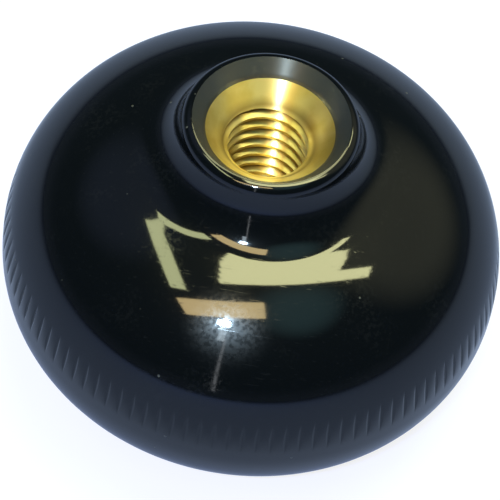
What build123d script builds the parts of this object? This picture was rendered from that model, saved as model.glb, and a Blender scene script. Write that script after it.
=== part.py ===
from build123d import *
import os
from math import cos, pi, radians, sin, sqrt, tan

# Moulded grip: sizes in millimetres
grip_diameter = 42.0
palm_height = 10.2
palm_foot_radius = 8.0
rim_land_height = 0.8
rim_radius = 12.4
dome_radius = 11.6
neck_radius = 5.2
collar_thickness = 2.0
collar_edge_radius = 0.9

# Moulded grip: how far its outline leans inwards at each change of curve, in degrees
rim_lean = 17.5
dome_lean = 45.0
shoulder_lean = 73.4
collar_draft = 5.0
collar_edge_lean = 85.0
dish_slope = 49.0

# Flutes moulded into the rim for the fingers
flute_pitch = 1.2
flute_angle = 125.0
flute_low_lean = 1.0
flute_high_lean = 16.5

# Brass insert with a countersunk, tapped blind hole
thread_diameter = 8.0
thread_pitch = 1.25
thread_depth_share = 5 / 8
bore_depth = 11.5
insert_wall = 1.35
insert_floor = 2.0
insert_head_length = 5.0
insert_base_length = 4.0
insert_base_chamfer = 0.5
waist_wall = 0.7
countersink_angle = 90.0
drill_point_angle = 118.0

# Length by which a cutting tool passes the surface it leaves
overrun = 1.0


def reach(lean):
    """Inward travel on a unit arc that starts upright and leans in by this many degrees."""
    return 1 - cos(radians(lean))


# Sizes that follow from the ones above
grip_radius = grip_diameter / 2
land_top = palm_height + rim_land_height
thread_minor_radius = thread_diameter / 2 - thread_depth_share * thread_pitch * sqrt(3) / 2
insert_radius = thread_diameter / 2 + insert_wall
waist_flat = thread_diameter / 2 + waist_wall
countersink_run = tan(radians(countersink_angle / 2))
mouth_depth = (insert_radius - thread_minor_radius) / countersink_run
drill_point_depth = thread_minor_radius / tan(radians(drill_point_angle / 2))
insert_length = bore_depth + drill_point_depth + insert_floor
neck_reach = neck_radius * (reach(shoulder_lean) - reach(collar_draft))
dome_reach = rim_radius * reach(rim_lean) + dome_radius * (reach(dome_lean) - reach(rim_lean))
shoulder_reach = grip_radius - dome_reach - neck_reach - collar_thickness - insert_radius
shoulder_radius = shoulder_reach / (reach(shoulder_lean) - reach(dome_lean))


def grip_outline():
    """Half section of the grip, from the centre of the palm face round to the insert's mouth."""
    foot = Line((0, 0), (palm_foot_radius, 0))
    palm_centre = (palm_foot_radius, palm_height)
    palm = EllipticalCenterArc(palm_centre, grip_radius - palm_foot_radius, palm_height, 270, arc_size=90)
    land = Line((grip_radius, palm_height), (grip_radius, land_top))
    rim = JernArc(land @ 1, land % 1, rim_radius, rim_lean)
    dome = JernArc(rim @ 1, rim % 1, dome_radius, dome_lean - rim_lean)
    shoulder = JernArc(dome @ 1, dome % 1, shoulder_radius, shoulder_lean - dome_lean)
    neck = JernArc(shoulder @ 1, shoulder % 1, neck_radius, collar_draft - shoulder_lean)
    edge = JernArc(neck @ 1, neck % 1, collar_edge_radius, collar_edge_lean - collar_draft)
    dish_run = (edge @ 1).X - insert_radius
    dish = Line(edge @ 1, edge @ 1 - Vector(1, tan(radians(dish_slope))) * dish_run)
    seat = Line(dish @ 1, (0, (dish @ 1).Y))
    axis = Line(seat @ 1, foot @ 0)
    return foot, palm, land, rim, dome, shoulder, neck, edge, dish, seat, axis


def turned(*outline):
    """Solid of revolution about the knob's axis."""
    return revolve(Plane.XZ * make_face(outline), Axis.Z)


def rim_point(lean):
    """Point of the rim's arc, in the half section, where it leans in by this many degrees."""
    return Vector(grip_radius - rim_radius * reach(lean), 0, land_top + rim_radius * sin(radians(lean)))


def grip_flutes():
    """Axial vee cutters whose straight roots are chords of the rim's arc, so that both ends run out."""
    low = rim_point(flute_low_lean)
    chord = rim_point(flute_high_lean) - low
    root = Plane(low, x_dir=(chord.Z, 0, -chord.X), z_dir=chord)
    half_width = overrun * tan(radians(flute_angle / 2))
    vee = Polyline((0, 0), (overrun, half_width), (overrun, -half_width), close=True)
    cutter = extrude(root * make_face(vee), chord.length)
    count = round(pi * grip_diameter / flute_pitch)
    return [Rot(0, 0, 360 * i / count) * cutter for i in range(count)]


def insert_blank(mouth_height):
    """Brass bush before it is drilled: round head and base with a six-sided waist between them."""
    base = Pos(0, 0, mouth_height - insert_length)
    bar = base * Cylinder(insert_radius, insert_length, align=(Align.CENTER, Align.CENTER, Align.MIN))
    bar = chamfer(bar.edges().sort_by(Axis.Z)[0], insert_base_chamfer)
    waist_length = insert_length - insert_head_length - insert_base_length
    sleeve = Circle(insert_radius + overrun) - RegularPolygon(waist_flat, 6, major_radius=False)
    return bar - base * Pos(0, 0, insert_base_length) * extrude(sleeve, waist_length)


def insert_bore(mouth_height):
    """Countersink, plain bore at the thread's crests and the drill's conical end."""
    points = [
        (0, mouth_height + overrun),
        (insert_radius + overrun * countersink_run, mouth_height + overrun),
        (thread_minor_radius, mouth_height - mouth_depth),
        (thread_minor_radius, mouth_height - bore_depth),
        (0, mouth_height - bore_depth - drill_point_depth),
    ]
    return turned(Polyline(*points, close=True))


outline = grip_outline()
mouth_height = outline[-1].position_at(0).Y
blank = insert_blank(mouth_height)
knob_body = turned(*outline) - grip_flutes() - blank
threaded_insert = blank - insert_bore(mouth_height)

os.makedirs("parts", exist_ok=True)
export_step(knob_body, "parts/knob_body.step")
export_step(threaded_insert, "parts/threaded_insert.step")
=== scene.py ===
from math import ceil, cos, pi, radians, sin, sqrt, tan

import bmesh
import bpy
from mathutils import Matrix, Vector


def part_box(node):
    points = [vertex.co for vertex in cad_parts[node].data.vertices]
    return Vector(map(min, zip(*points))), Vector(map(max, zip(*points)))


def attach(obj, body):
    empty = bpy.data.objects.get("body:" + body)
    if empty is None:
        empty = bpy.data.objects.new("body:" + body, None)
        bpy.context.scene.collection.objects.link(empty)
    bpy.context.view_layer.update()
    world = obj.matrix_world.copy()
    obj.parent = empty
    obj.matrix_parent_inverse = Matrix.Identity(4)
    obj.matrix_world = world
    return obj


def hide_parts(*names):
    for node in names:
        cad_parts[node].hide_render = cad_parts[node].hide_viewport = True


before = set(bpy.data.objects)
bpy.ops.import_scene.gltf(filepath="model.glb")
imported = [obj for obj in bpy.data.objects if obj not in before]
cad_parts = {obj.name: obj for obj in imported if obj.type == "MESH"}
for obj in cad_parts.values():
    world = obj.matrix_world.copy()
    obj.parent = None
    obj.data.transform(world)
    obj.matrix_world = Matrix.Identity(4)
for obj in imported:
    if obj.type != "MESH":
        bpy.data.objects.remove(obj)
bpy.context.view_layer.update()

# Sizes of the object are in millimetres, as in the part's source, and angles in degrees
mm = 0.001
grip_low, grip_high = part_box("knob_body")
insert_low, insert_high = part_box("threaded_insert")

# Moulded grip
grip_radius = (grip_high[0] - grip_low[0]) / 2 / mm
palm_height = 10.2
palm_foot_radius = 8.0
rim_land_height = 0.8
rim_radius = 12.4
dome_radius = 11.6
neck_radius = 5.2
collar_thickness = 2.0
collar_edge_radius = 0.9
rim_lean = 17.5
dome_lean = 45.0
shoulder_lean = 73.4
collar_draft = 5.0
collar_edge_lean = 85.0

# Flutes moulded into the rim, with their edges softened
flute_pitch = 1.2
flute_angle = 125.0
flute_low_lean = 1.0
flute_high_lean = 16.5
flute_softening = 0.03
flute_least_half_width = 0.09

# Brass insert
insert_radius = (insert_high[0] - insert_low[0]) / 2 / mm
insert_base = insert_low[2] / mm
mouth_height = insert_high[2] / mm
thread_diameter = 8.0
thread_pitch = 1.25
thread_depth_share = 5 / 8
crest_flat_share = 1 / 4
root_flat_share = 1 / 8
bore_depth = 11.5
insert_head_length = 5.0
insert_base_length = 4.0
insert_base_chamfer = 0.5
waist_sides = 6
waist_wall = 0.7
countersink_angle = 90.0
drill_point_angle = 118.0

# How finely the pieces are meshed
flute_count = round(2 * pi * grip_radius / flute_pitch)
plain_columns_per_flute = 2
grip_columns = flute_count * plain_columns_per_flute
palm_steps = 30
flute_steps = 16
rim_end_steps = 2
dome_steps = 14
shoulder_steps = 14
neck_steps = 24
collar_edge_steps = 14
dish_steps = 4
bush_columns = 144
rows_per_turn = 32
sharp_angle = 50.0
merge_distance = 1e-4

# Wear of the moulding: noises as spots per millimetre and detail, and masks as the values at their edges
scuff_patch_noise = (0.22, 4.0)
scuff_patch_edges = (0.45, 0.70)
scuff_grain_noise = (3.0, 5.0)
scuff_grain_edges = (0.48, 0.62)
scuff_weight = 0.5
scratch_noise = (1.0, 1.0)
scratch_edges = (0.70, 0.76)
scratch_weight = 0.6
dust_scale = 0.55
dust_speck_edges = (0.035, 0.085)
dust_choice_edges = (0.60, 0.64)

# Two runs of scratches: how they are turned, their spacing and their length
scratch_runs = [((0, 0, 20), 0.16, 7.0), ((0, 40, 75), 0.13, 5.0)]

# Spot on the front of the dome that use has rubbed dull
rubbed_place = (-0.9, -15.9, 20.8)
rubbed_core = 0.5
rubbed_radius = 4.1
rubbed_grain_edges = (0.35, 0.62)
rubbed_grain_weights = (0.35, 0.9)
plain_haze = 0.04
haze_roughness = 0.33

# Black moulding
white = (1, 1, 1, 1)
plastic_tone = (0.0012, 0.0018, 0.0026, 1)
scuffed_tone = (0.006, 0.007, 0.009, 1)
dust_tone = (0.07, 0.075, 0.08, 1)
plastic_ior = 1.65
plastic_gloss = 0.5
plastic_roughness = 0.055
worn_roughness = 0.16
dust_roughness = 0.4
ripple_noise = (0.35, 2.0)
ripple_relief = 0.5
scratch_relief = -0.06
plastic_bump = 0.25
plastic_bump_height = 0.02

# Satin dish, cut on a lathe: its gloss and roughness are added to those of the moulding
dish_ring_noise = (11.0, 3.0)
dish_tone = (0.004, 0.009, 0.021, 1)
dish_pale_tone = (0.012, 0.022, 0.040, 1)
dish_gloss_tone = (1.0, 0.93, 0.80, 1)
dish_gloss = 0.5
dish_roughness = 0.27
dish_relief = 0.12
dish_anisotropy = 0.84

# Turned brass, with painted shade in the thread's roots that deepens down the bore: the roots are masked by
# shares of the thread's depth and by depths below the mouth
brass_ring_noise = (14.0, 3.0)
brass_cloud_noise = (0.45, 4.0)
brass_cloud_edges = (0.35, 0.65)
brass_grain_noise = (9.0, 3.0)
brass_tone = (0.80, 0.63, 0.21, 1)
brass_pale_tone = (0.90, 0.75, 0.34, 1)
brass_roughness = 0.22
brass_ring_roughness = 0.12
brass_grain_roughness = 0.06
brass_bump = 0.35
brass_bump_height = 0.01
brass_anisotropy = 0.9
root_shade_tone = (0.20, 0.098, 0.009, 1)
root_low_share = 0.25
root_high_share = 0.8
shade_start_depth = 0.9
shade_full_depth = 1.9
root_shade_weight = 0.85

# Turn that lays the highlight of a lathe-cut face across its tool marks, as a share of a full turn
lathe_highlight_turn = 0.25

# Floor, in metres: how far it is lifted for the camera and in gloss, and its glow by the knob, a painted
# pool of light that shows only in reflections
floor_size = 8.0
floor_tone = (0.16, 0.20, 0.41, 1)
floor_lift = 0.85
floor_lift_in_gloss = 0.05
floor_glow = (0.62, 0.76, 1.0, 1)
floor_glow_strength = 0.26
floor_glow_near = 0.002
floor_glow_far = 0.020

# Room, which fades from its horizon to its top between two heights of a ray
world_top = (0.03, 0.045, 0.06, 1)
world_horizon = (0.06, 0.08, 0.11, 1)
world_fade_low = 0.0
world_fade_high = 0.20

# Soft patches of the room: direction, tone, and how squarely a ray faces one at its edge and its middle
room_patches = [
    ((0.66, 0.40, 0.63), (0.29, 0.30, 0.23, 1), 0.80, 0.97),
    ((0.33, -0.34, 0.88), (0.19, 0.37, 0.40, 1), 0.945, 0.999),
    ((-0.61, 0.28, 0.74), (0.10, 0.13, 0.20, 1), 0.88, 0.99),
]

# Slanting ceiling panel, in metres and degrees, with a narrow tail at its far end
ceiling_height = 0.40
panel_corner = (-0.056, -0.088)
panel_yaw = 14.4
panel_tone = (1.0, 0.99, 0.52)
panel_strength = 9.3
panel_length = 0.25
panel_depth = 0.14
panel_near_slant = 0.35
panel_far_slant = 0.175
panel_strips = 7
panel_tail_end = 0.365
panel_tail_depth = 0.042

# Other lights, in metres and degrees, with their radiance as strength
cards = {
    "far_panel": dict(
        centre=(0.02, 0.178, ceiling_height), size=(0.31, 0.156),
        tone=panel_tone, strength=5.0,
    ),
    "far_corner": dict(
        centre=(0.192, 0.297, ceiling_height), size=(0.055, 0.08),
        tone=panel_tone, strength=8.0,
    ),
    "side_strip": dict(
        centre=(-0.180, -0.035, ceiling_height), size=(0.050, 0.235), yaw=6,
        tone=(0.95, 1.0, 0.52), strength=6.5,
    ),
    "warm_bar": dict(
        centre=(-0.058, -0.208, ceiling_height), size=(0.24, 0.080), yaw=14,
        tone=(1.0, 0.76, 0.36), strength=7.0,
    ),
    "lamp": dict(
        centre=(-0.042, -0.279, ceiling_height), size=(0.031, 0.028),
        tone=(0.55, 0.78, 1.0), strength=520.0,
    ),
    "lamp_shade": dict(
        centre=(-0.042, -0.30, 0.35), size=(0.020, 0.11), tilt=90,
        tone=(0.75, 0.9, 1.0), strength=5.0,
    ),
    "lamp_stand": dict(
        centre=(-0.077, -0.75, 0.42), size=(0.016, 0.70), tilt=90,
        tone=(0.9, 0.95, 1.0), strength=1.5,
    ),
}

# Camera, in millimetres and degrees, on the photo's square frame
camera_distance = 378.0
camera_elevation = 53.18
camera_roll = 9.16
camera_lens = 324.4
camera_pivot_height = 14.643
camera_aim = (-0.080, 0.0, 10.532)

# Sockets of the mix node that blend colours
mix_share, mix_first, mix_second, mix_result = 0, 6, 7, 2


def reach(lean):
    """Inward travel on a unit arc that starts upright and leans in by this many degrees."""
    return 1 - cos(radians(lean))


# Sizes that follow from the ones above
land_top = palm_height + rim_land_height
thread_depth = thread_depth_share * thread_pitch * sqrt(3) / 2
thread_minor_radius = thread_diameter / 2 - thread_depth
waist_flat = thread_diameter / 2 + waist_wall
bore_floor = mouth_height - bore_depth
waist_top = mouth_height - insert_head_length
waist_floor = insert_base + insert_base_length
drill_point_depth = thread_minor_radius / tan(radians(drill_point_angle / 2))
neck_reach = neck_radius * (reach(shoulder_lean) - reach(collar_draft))
dome_reach = rim_radius * reach(rim_lean) + dome_radius * (reach(dome_lean) - reach(rim_lean))
shoulder_reach = grip_radius - dome_reach - neck_reach - collar_thickness - insert_radius
shoulder_radius = shoulder_reach / (reach(shoulder_lean) - reach(dome_lean))
collar_edge_reach = collar_edge_radius * (reach(collar_edge_lean) - reach(collar_draft))
dish_edge_radius = insert_radius + collar_thickness - collar_edge_reach


def arc(start, lean, end_lean, radius, steps):
    """Points of an arc of the half section, after its start, from one lean to another."""
    centre = start - radius * Vector((cos(radians(lean)), sin(radians(lean))))
    turns = [radians(lean + (end_lean - lean) * (i + 1) / steps) for i in range(steps)]
    return [centre + radius * Vector((cos(t), sin(t))) for t in turns]


def straight(start, end, steps):
    """Points of a straight stretch, after its start."""
    return [start.lerp(end, (i + 1) / steps) for i in range(steps)]


def palm_side():
    """Quarter ellipse from the palm's flat foot out to the rim."""
    turns = [pi / 2 * i / palm_steps for i in range(palm_steps + 1)]
    width = grip_radius - palm_foot_radius
    return [Vector((palm_foot_radius + width * sin(t), palm_height * (1 - cos(t)))) for t in turns]


def crown_outline(start, lean):
    """Half section from the end of the flutes over the dome, neck and collar to the insert's mouth."""
    points = arc(start, lean, rim_lean, rim_radius, rim_end_steps)
    points += arc(points[-1], rim_lean, dome_lean, dome_radius, dome_steps)
    points += arc(points[-1], dome_lean, shoulder_lean, shoulder_radius, shoulder_steps)
    points += arc(points[-1], shoulder_lean, collar_draft, -neck_radius, neck_steps)
    points += arc(points[-1], collar_draft, collar_edge_lean, collar_edge_radius, collar_edge_steps)
    return points + straight(points[-1], Vector((insert_radius, mouth_height)), dish_steps)


def round_ring(radius, height, columns):
    """Plain ring of points about the axis."""
    turns = [2 * pi * j / columns for j in range(columns)]
    return [(radius * cos(t), radius * sin(t), height) for t in turns]


def waist_ring(height, columns):
    """Ring that follows the insert's six-sided waist."""
    side = 2 * pi / waist_sides
    ring = []
    for j in range(columns):
        turn = 2 * pi * j / columns
        radius = min(insert_radius, waist_flat / cos((turn % side) - side / 2))
        ring.append((radius * cos(turn), radius * sin(turn), height))
    return ring


def fluted_ring(radius, height, depth):
    """Ring whose columns follow the vee flutes, which are this deep here."""
    half_width = max(depth * tan(radians(flute_angle / 2)), flute_least_half_width)
    pitch = 2 * pi * radius / flute_count
    near = [0, flute_softening, half_width - flute_softening, half_width + flute_softening]
    offsets = near + [pitch / 2] + [pitch - offset for offset in reversed(near[1:])]
    ring = []
    for flute in range(flute_count):
        for offset in offsets:
            away = max(min(offset, pitch - offset), flute_softening)
            inset = radius - depth * max(1 - away / half_width, 0)
            turn = (flute * pitch + offset) / radius
            ring.append((inset * cos(turn), inset * sin(turn), height))
    return ring


def flute_rings():
    """Rings from one end of the flutes to the other, whose roots are straight, and the last point."""
    start = arc(Vector((grip_radius, land_top)), 0, flute_low_lean, rim_radius, 1)[0]
    rise = [start] + arc(start, flute_low_lean, flute_high_lean, rim_radius, flute_steps)
    rings = []
    for point in rise:
        root = start.lerp(rise[-1], (point.y - start.y) / (rise[-1].y - start.y))
        rings.append(fluted_ring(*point, point.x - root.x))
    return rings, rise[-1]


def socket_rings(columns):
    """Rings of the faces where grip and insert meet, from the mouth down to the insert's base."""
    return [
        round_ring(insert_radius, waist_top, columns),
        waist_ring(waist_top, columns),
        waist_ring(waist_floor, columns),
        round_ring(insert_radius, waist_floor, columns),
        round_ring(insert_radius, insert_base + insert_base_chamfer, columns),
        round_ring(insert_radius - insert_base_chamfer, insert_base, columns),
    ]


def join_rings(mesh, lower, upper):
    """Faces between two rings. Where one has more columns, each step of the other fans out to meet it."""
    if len(lower) == len(upper):
        for j in range(len(lower)):
            k = (j + 1) % len(lower)
            mesh.faces.new((lower[j], lower[k], upper[k], upper[j]))
        return
    fine, coarse = (lower, upper) if len(lower) > len(upper) else (upper, lower)
    ratio = len(fine) // len(coarse)
    for j in range(len(coarse)):
        k = (j + 1) % len(coarse)
        step = [fine[(j * ratio + i) % len(fine)] for i in range(ratio + 1)]
        for i in range(ratio):
            mesh.faces.new((step[i], step[i + 1], coarse[j] if i < ratio // 2 else coarse[k]))
        mesh.faces.new((coarse[j], step[ratio // 2], coarse[k]))


def cap(mesh, ring, height):
    """Closes a ring with a fan to a point on the axis."""
    centre = mesh.verts.new((0, 0, height))
    for j in range(len(ring)):
        mesh.faces.new((ring[j], ring[(j + 1) % len(ring)], centre))


def ring_verts(mesh, points):
    """Adds a ring of points and returns its vertices."""
    return [mesh.verts.new(point) for point in points]


def finish_piece(mesh, name, material):
    """Turns a closed mesh in millimetres into a smooth-shaded object in metres."""
    bmesh.ops.remove_doubles(mesh, verts=mesh.verts, dist=merge_distance)
    bmesh.ops.dissolve_degenerate(mesh, edges=mesh.edges, dist=merge_distance)
    bmesh.ops.recalc_face_normals(mesh, faces=mesh.faces)
    bmesh.ops.scale(mesh, vec=(mm, mm, mm), verts=mesh.verts)
    data = bpy.data.meshes.new(name)
    mesh.to_mesh(data)
    mesh.free()
    data.shade_smooth()
    data.set_sharp_from_angle(angle=radians(sharp_angle))
    data.materials.append(material)
    piece = bpy.data.objects.new(name, data)
    bpy.context.collection.objects.link(piece)
    return piece


def make_grip(material):
    """The moulded knob: palm, fluted rim, dome, neck and collar, with the socket that holds the insert."""
    fluted, flute_end = flute_rings()
    rings = [round_ring(*point, grip_columns) for point in palm_side()]
    rings += [round_ring(grip_radius, land_top, grip_columns)]
    rings += fluted
    rings += [round_ring(*point, grip_columns) for point in crown_outline(flute_end, flute_high_lean)]
    rings += socket_rings(grip_columns)
    mesh = bmesh.new()
    verts = [ring_verts(mesh, ring) for ring in rings]
    for lower, upper in zip(verts, verts[1:]):
        join_rings(mesh, lower, upper)
    cap(mesh, verts[0], 0)
    cap(mesh, verts[-1], insert_base)
    return finish_piece(mesh, "grip_moulding", material)


def thread_share(turns):
    """How deep the thread is at this many turns along the axis: 0 at its crest and 1 at its root."""
    flank = (1 - crest_flat_share - root_flat_share) / 2
    away = abs((turns % 1) - 1 / 2)
    return min(max((away - crest_flat_share / 2) / flank, 0), 1)


def bore_radius(height, turns):
    """Wall of the tapped hole: the thread, which fades out at the bottom, cut away by the countersink."""
    cone = insert_radius - (mouth_height - height) * tan(radians(countersink_angle / 2))
    fade = min(max((height - bore_floor) / thread_pitch, 0), 1)
    return max(thread_minor_radius + thread_depth * thread_share(turns) * fade, cone)


def thread_wall(mesh):
    """Grid whose rows follow the thread's helix, held between the mouth and the floor of the bore."""
    rows = ceil(bore_depth / thread_pitch * rows_per_turn) + rows_per_turn
    grid = []
    for j in range(bush_columns):
        turn = 2 * pi * j / bush_columns
        column = []
        for k in range(rows + 1):
            height = mouth_height + thread_pitch * (j / bush_columns - k / rows_per_turn)
            height = min(max(height, bore_floor), mouth_height)
            radius = bore_radius(height, k / rows_per_turn)
            column.append(mesh.verts.new((radius * cos(turn), radius * sin(turn), height)))
        grid.append(column)
    # The last column meets the first one a turn further on
    meeting = [grid[0][max(k - rows_per_turn, 0)] for k in range(rows + 1)]
    for here, ahead in zip(grid, grid[1:] + [meeting]):
        for k in range(rows):
            corners = [here[k], ahead[k], ahead[k + 1], here[k + 1]]
            if ahead[k] is ahead[k + 1]:
                corners.remove(ahead[k])
            mesh.faces.new(corners)
    return [column[0] for column in grid], [column[-1] for column in grid]


def make_bush(material):
    """The brass insert: turned outside, countersunk mouth, helical thread and the drill's conical end."""
    mesh = bmesh.new()
    mouth, floor = thread_wall(mesh)
    rings = [ring_verts(mesh, ring) for ring in reversed(socket_rings(bush_columns))]
    rings += [mouth]
    for lower, upper in zip(rings, rings[1:]):
        join_rings(mesh, lower, upper)
    cap(mesh, rings[0], insert_base)
    cap(mesh, floor, bore_floor - drill_point_depth)
    return finish_piece(mesh, "threaded_bush", material)


def feed(tree, socket, value):
    """Links a node's input to an output, or sets it to a plain value."""
    if isinstance(value, bpy.types.NodeSocket):
        tree.links.new(value, socket)
    else:
        socket.default_value = value


def plug(tree, node, **sockets):
    """Feeds a node's inputs by name."""
    for name, value in sockets.items():
        feed(tree, node.inputs[name.replace("_", " ")], value)


def add_node(tree, kind, settings=(), **sockets):
    """Adds a node, sets its options and feeds its inputs."""
    node = tree.nodes.new(kind)
    for option, value in dict(settings).items():
        setattr(node, option, value)
    plug(tree, node, **sockets)
    return node


def maths(tree, operation, first, second):
    """Output of one arithmetic node."""
    node = add_node(tree, "ShaderNodeMath", {"operation": operation})
    feed(tree, node.inputs[0], first)
    feed(tree, node.inputs[1], second)
    return node.outputs["Value"]


def vector_maths(tree, operation, first, second):
    """Output of one node that makes a value from two vectors."""
    node = add_node(tree, "ShaderNodeVectorMath", {"operation": operation})
    feed(tree, node.inputs[0], first)
    feed(tree, node.inputs[1], second)
    return node.outputs["Value"]


def weighted(tree, base, *parts):
    """Sum of a plain value and of masks, each times its weight."""
    total = base
    for mask, weight in parts:
        total = maths(tree, "ADD", maths(tree, "MULTIPLY", mask, weight), total)
    return total


def stretch(tree, value, low, high, to_low=0.0, to_high=1.0):
    """Output of a smooth map from one range to another, clamped at its ends."""
    node = add_node(
        tree, "ShaderNodeMapRange", {"interpolation_type": "SMOOTHSTEP"},
        Value=value, From_Min=low, From_Max=high, To_Min=to_low, To_Max=to_high,
    )
    return node.outputs["Result"]


def tint(tree, share, first, second):
    """Output of a blend between two colours."""
    node = add_node(tree, "ShaderNodeMix", {"data_type": "RGBA"})
    feed(tree, node.inputs[mix_share], share)
    feed(tree, node.inputs[mix_first], first)
    feed(tree, node.inputs[mix_second], second)
    return node.outputs[mix_result]


def noise(tree, place, scale, detail):
    """Output of a cloudy noise."""
    return add_node(tree, "ShaderNodeTexNoise", Vector=place, Scale=scale, Detail=detail).outputs["Fac"]


def new_material(name):
    """Material with its shader, and the place on the object in millimetres as a vector."""
    material = bpy.data.materials.new(name)
    material.use_nodes = True
    tree = material.node_tree
    place = add_node(tree, "ShaderNodeTexCoord").outputs["Object"]
    scale = add_node(tree, "ShaderNodeVectorMath", {"operation": "SCALE"}, Vector=place, Scale=1 / mm)
    return material, tree, tree.nodes["Principled BSDF"], scale.outputs["Vector"]


def axis_place(tree, place):
    """Distance from the knob's axis and height above its foot, in millimetres."""
    parts = add_node(tree, "ShaderNodeSeparateXYZ", Vector=place).outputs
    flat = add_node(tree, "ShaderNodeCombineXYZ", X=parts["X"], Y=parts["Y"], Z=0.0).outputs["Vector"]
    radius = add_node(tree, "ShaderNodeVectorMath", {"operation": "LENGTH"}, Vector=flat)
    return radius.outputs["Value"], parts["Z"]


def lathe_rings(tree, radius, height, scale, detail):
    """Fine tool rings about the axis, as a value round one half."""
    along = maths(tree, "SUBTRACT", radius, height)
    line = {"noise_dimensions": "1D"}
    return add_node(tree, "ShaderNodeTexNoise", line, W=along, Scale=scale, Detail=detail).outputs["Fac"]


def lathe_tangent(tree):
    """Direction round the axis, which the tool marks follow."""
    return add_node(tree, "ShaderNodeTangent", {"direction_type": "RADIAL", "axis": "Z"}).outputs["Tangent"]


def bumped(tree, relief, strength, height):
    """Normal of a surface with a fine relief of this height in millimetres."""
    bump = add_node(tree, "ShaderNodeBump", Strength=strength, Distance=height * mm, Height=relief)
    return bump.outputs["Normal"]


def scratches(tree, place, turn, spacing, length):
    """Fine straight scratches in one direction: 1 in a scratch and 0 beside it."""
    along = add_node(
        tree, "ShaderNodeMapping", Vector=place, Rotation=[radians(a) for a in turn],
        Scale=(1 / length, 1 / spacing, 1 / spacing),
    )
    return stretch(tree, noise(tree, along.outputs["Vector"], *scratch_noise), *scratch_edges)


def wear(tree, place, grain):
    """Masks of the moulding's wear: scuffs and scratches together, the scratches alone, and dust."""
    patches = stretch(tree, noise(tree, place, *scuff_patch_noise), *scuff_patch_edges)
    scuff = maths(tree, "MULTIPLY", patches, stretch(tree, grain, *scuff_grain_edges))
    first, second = [scratches(tree, place, *run) for run in scratch_runs]
    lines = maths(tree, "MAXIMUM", first, second)
    worn = maths(
        tree, "MAXIMUM",
        maths(tree, "MULTIPLY", scuff, scuff_weight),
        maths(tree, "MULTIPLY", lines, scratch_weight),
    )
    cells = add_node(tree, "ShaderNodeTexVoronoi", Vector=place, Scale=dust_scale).outputs
    specks = stretch(tree, cells["Distance"], *dust_speck_edges, 1.0, 0.0)
    dust = maths(tree, "MULTIPLY", specks, stretch(tree, cells["Color"], *dust_choice_edges))
    return worn, lines, dust


def rubbed_haze(tree, place, grain):
    """Weight of the dull coat, which is strong only on the spot that use has rubbed."""
    away = vector_maths(tree, "DISTANCE", place, rubbed_place)
    rubbed = stretch(tree, away, rubbed_core, rubbed_radius, 1.0, 0.0)
    grainy = stretch(tree, grain, *rubbed_grain_edges, *rubbed_grain_weights)
    return weighted(tree, plain_haze, (rubbed, grainy))


def black_plastic():
    """Polished black moulding with scuffs, fine scratches and dust, and a satin dish cut on a lathe."""
    material, tree, shader, place = new_material("black_moulding")
    radius, height = axis_place(tree, place)
    grain = noise(tree, place, *scuff_grain_noise)
    worn, lines, dust = wear(tree, place, grain)
    in_dish = maths(tree, "LESS_THAN", radius, dish_edge_radius)
    rings = lathe_rings(tree, radius, height, *dish_ring_noise)
    colour = tint(tree, dust, tint(tree, worn, plastic_tone, scuffed_tone), dust_tone)
    colour = tint(tree, in_dish, colour, tint(tree, rings, dish_tone, dish_pale_tone))
    rough = weighted(
        tree, plastic_roughness, (worn, worn_roughness), (dust, dust_roughness), (in_dish, dish_roughness),
    )
    ripple = noise(tree, place, *ripple_noise)
    cut = maths(tree, "MULTIPLY", rings, in_dish)
    relief = weighted(tree, 0.0, (ripple, ripple_relief), (lines, scratch_relief), (cut, dish_relief))
    plug(
        tree, shader, Base_Color=colour, Roughness=rough, IOR=plastic_ior,
        Normal=bumped(tree, relief, plastic_bump, plastic_bump_height),
        Tangent=lathe_tangent(tree),
        Anisotropic=maths(tree, "MULTIPLY", in_dish, dish_anisotropy),
        Anisotropic_Rotation=lathe_highlight_turn,
        Specular_Tint=tint(tree, in_dish, white, dish_gloss_tone),
        Specular_IOR_Level=weighted(tree, plastic_gloss, (in_dish, dish_gloss)),
        Coat_Weight=rubbed_haze(tree, place, grain),
        Coat_Roughness=haze_roughness,
    )
    return material


def turned_brass():
    """Turned brass: fine tool rings, a warm uneven tone and painted shade in the thread roots, darker
    deeper in the bore.
    """
    material, tree, shader, place = new_material("brass")
    radius, height = axis_place(tree, place)
    rings = lathe_rings(tree, radius, height, *brass_ring_noise)
    cloud = stretch(tree, noise(tree, place, *brass_cloud_noise), *brass_cloud_edges)
    grain = noise(tree, place, *brass_grain_noise)
    # Painted shade: the thread roots darken from a little below the mouth to full strength deeper in the
    # bore
    full_height, start_height = mouth_height - shade_full_depth, mouth_height - shade_start_depth
    bore_shade = stretch(tree, height, full_height, start_height, 1.0, 0.0)
    root_low = thread_minor_radius + root_low_share * thread_depth
    root_high = thread_minor_radius + root_high_share * thread_depth
    root = maths(tree, "MULTIPLY", bore_shade, stretch(tree, radius, root_low, root_high))
    colour = tint(tree, cloud, brass_tone, brass_pale_tone)
    rough = weighted(tree, brass_roughness, (rings, brass_ring_roughness), (grain, brass_grain_roughness))
    plug(
        tree, shader, Metallic=1.0,
        Base_Color=tint(tree, maths(tree, "MULTIPLY", root, root_shade_weight), colour, root_shade_tone),
        Roughness=rough,
        Normal=bumped(tree, rings, brass_bump, brass_bump_height),
        Tangent=lathe_tangent(tree),
        Anisotropic=brass_anisotropy,
        Anisotropic_Rotation=lathe_highlight_turn,
    )
    return material


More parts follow.
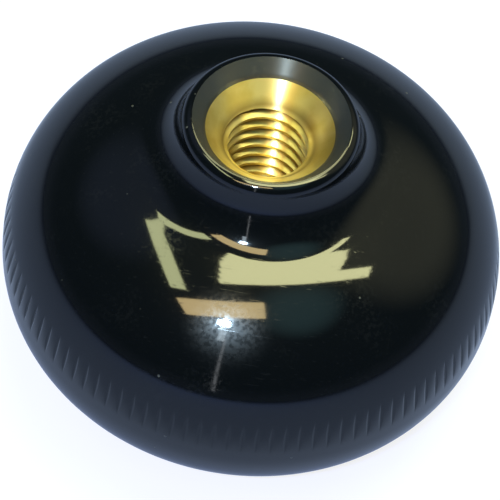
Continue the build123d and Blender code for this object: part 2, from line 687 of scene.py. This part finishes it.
def floor_material():
    """Paper that is lifted to white for the camera and a little in gloss, with a painted pool of light by
    the knob that shows only in gloss, and keeps the shadow.
    """
    material = bpy.data.materials.new("pale_floor")
    material.use_nodes = True
    tree = material.node_tree
    tree.nodes.remove(tree.nodes["Principled BSDF"])
    path = add_node(tree, "ShaderNodeLightPath").outputs
    gloss = maths(tree, "MAXIMUM", path["Is Glossy Ray"], path["Is Transmission Ray"])
    place = add_node(tree, "ShaderNodeTexCoord").outputs["Object"]
    away = add_node(tree, "ShaderNodeVectorMath", {"operation": "LENGTH"}, Vector=place).outputs["Value"]
    # Painted pool of light: in gloss the floor glows more strongly close round the knob's foot
    foot = grip_radius * mm
    pool = stretch(tree, away, foot + floor_glow_near, foot + floor_glow_far, floor_glow_strength, 0.0)
    pool = maths(tree, "ADD", pool, floor_lift_in_gloss)
    lift = weighted(tree, 0.0, (path["Is Camera Ray"], floor_lift), (gloss, pool))
    paper = add_node(tree, "ShaderNodeBsdfDiffuse", Color=floor_tone)
    glow = add_node(tree, "ShaderNodeEmission", Color=tint(tree, gloss, white, floor_glow), Strength=lift)
    both = tree.nodes.new("ShaderNodeAddShader")
    tree.links.new(paper.outputs["BSDF"], both.inputs[0])
    tree.links.new(glow.outputs["Emission"], both.inputs[1])
    tree.links.new(both.outputs["Shader"], tree.nodes["Material Output"].inputs["Surface"])
    return material


def make_floor():
    """Wide floor under the knob."""
    bpy.ops.mesh.primitive_plane_add(size=floor_size)
    floor = bpy.context.object
    floor.name = "floor"
    floor.data.materials.append(floor_material())


def make_world():
    """Dim room that grows pale towards the horizon, with faint soft patches."""
    world = bpy.data.worlds.new("studio")
    world.use_nodes = True
    bpy.context.scene.world = world
    tree = world.node_tree
    ray = add_node(tree, "ShaderNodeTexCoord").outputs["Generated"]
    height = add_node(tree, "ShaderNodeSeparateXYZ", Vector=ray).outputs["Z"]
    share = stretch(tree, height, world_fade_low, world_fade_high)
    room = tint(tree, share, world_horizon, world_top)
    for toward, tone, edge, middle in room_patches:
        facing = vector_maths(tree, "DOT_PRODUCT", ray, toward)
        room = tint(tree, stretch(tree, facing, edge, middle), room, tone)
    tree.links.new(room, tree.nodes["Background"].inputs["Color"])


def card(name, centre, size, tone, strength, yaw=0, tilt=0):
    """Soft rectangular light with radiance as strength. It faces down, or level when tilted by 90."""
    light = bpy.data.lights.new(name, "AREA")
    light.shape = "RECTANGLE"
    light.size, light.size_y = size
    light.color = tone
    light.energy = strength * pi * size[0] * size[1]
    lamp = bpy.data.objects.new(name, light)
    bpy.context.collection.objects.link(lamp)
    turn = Matrix.Rotation(radians(yaw), 4, "Z") @ Matrix.Rotation(radians(tilt), 4, "X")
    lamp.matrix_world = Matrix.Translation(centre) @ turn
    lamp.visible_camera = False


def panel(name, along, across):
    """Part of the ceiling panel, between two distances along it and two across it from its near corner."""
    turn = Matrix.Rotation(radians(panel_yaw), 2)
    middle = Vector(panel_corner) + turn @ Vector((sum(along) / 2, sum(across) / 2))
    size = along[1] - along[0], across[1] - across[0]
    card(name, (*middle, ceiling_height), size, panel_tone, panel_strength, yaw=panel_yaw)


def make_lights():
    """Slanting ceiling panel in strips, its tail, and the other lights."""
    for i in range(panel_strips):
        low, high = panel_depth * i / panel_strips, panel_depth * (i + 1) / panel_strips
        middle = (low + high) / 2
        along = panel_near_slant * middle, panel_far_slant * middle + panel_length
        panel(f"ceiling_panel_{i}", along, (low, high))
    panel("ceiling_tail", (panel_length, panel_tail_end), (0, panel_tail_depth))
    for name, settings in cards.items():
        card(name, **settings)


def make_camera():
    """Camera at the photo's angle: above the knob's front, rolled so that the axis leans to the right."""
    tilt, roll = radians(camera_elevation), radians(camera_roll)
    eye = Vector((0, -cos(tilt), sin(tilt))) * camera_distance + Vector((0, 0, camera_pivot_height))
    ahead = (Vector(camera_aim) - eye).normalized()
    right = ahead.cross(Vector((0, 0, 1))).normalized()
    up = right.cross(ahead)
    rolled_right = right * cos(roll) + up * sin(roll)
    rolled_up = up * cos(roll) - right * sin(roll)
    turn = Matrix((rolled_right, rolled_up, -ahead)).transposed().to_4x4()
    data = bpy.data.cameras.new("camera")
    data.lens = camera_lens
    data.clip_start = mm
    camera = bpy.data.objects.new("camera", data)
    bpy.context.collection.objects.link(camera)
    camera.matrix_world = Matrix.Translation(eye * mm) @ turn
    bpy.context.scene.camera = camera


grip = make_grip(black_plastic())
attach(grip, "root")
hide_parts("knob_body")

bush = make_bush(turned_brass())
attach(bush, "root")
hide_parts("threaded_insert")

make_floor()
make_world()
make_lights()
make_camera()
bpy.context.scene.view_settings.view_transform = "Standard"
